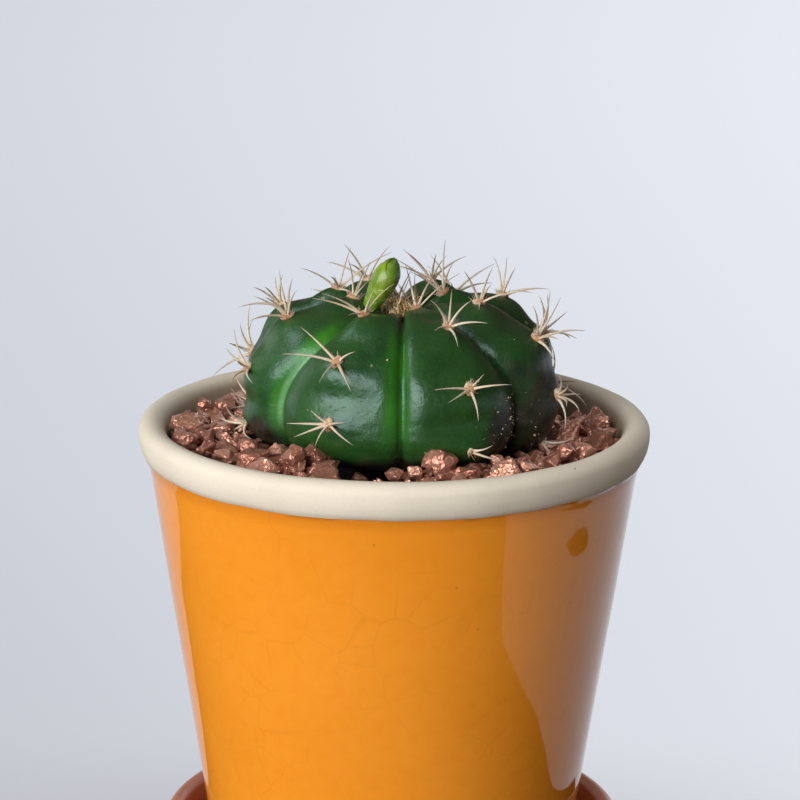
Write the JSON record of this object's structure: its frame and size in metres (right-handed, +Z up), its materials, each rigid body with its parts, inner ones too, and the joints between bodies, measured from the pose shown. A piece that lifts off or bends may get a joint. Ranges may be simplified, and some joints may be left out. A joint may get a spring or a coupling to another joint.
{
  "type": "potted cactus",
  "caption": "Round ribbed cactus with spine clusters and a flower bud, in gravel in a tapered glazed flowerpot on a saucer.",
  "frame": {"origin": "centre of the saucer's underside, on the surface it stands on", "axes": "+Z up along the pot's axis; -Y is the side that faces the viewer; +X is the viewer's right"},
  "size_m": [0.1, 0.1, 0.1359],
  "materials": {
    "terracotta": "satin fired clay",
    "orange_glaze": "glossy orange glaze, with a bare cream lip",
    "potting_soil": "damp crumbly compost",
    "copper_gravel": "coated chips with a metallic copper sheen",
    "cactus_skin": "waxy dark green skin with tan spines",
    "bud_scales": "smooth yellow-green scales",
    "dry_spines": "dry tan spines with brown feet and tips",
    "felt_wool": "short beige wool on the spine cushions"
  },
  "bodies": {
    "root": {"saucer": "terracotta", "pot": "orange_glaze", "soil": "potting_soil", "gravel": "copper_gravel", "cactus": "cactus_skin", "flower_bud": "bud_scales"}
  },
  "joints": []
}
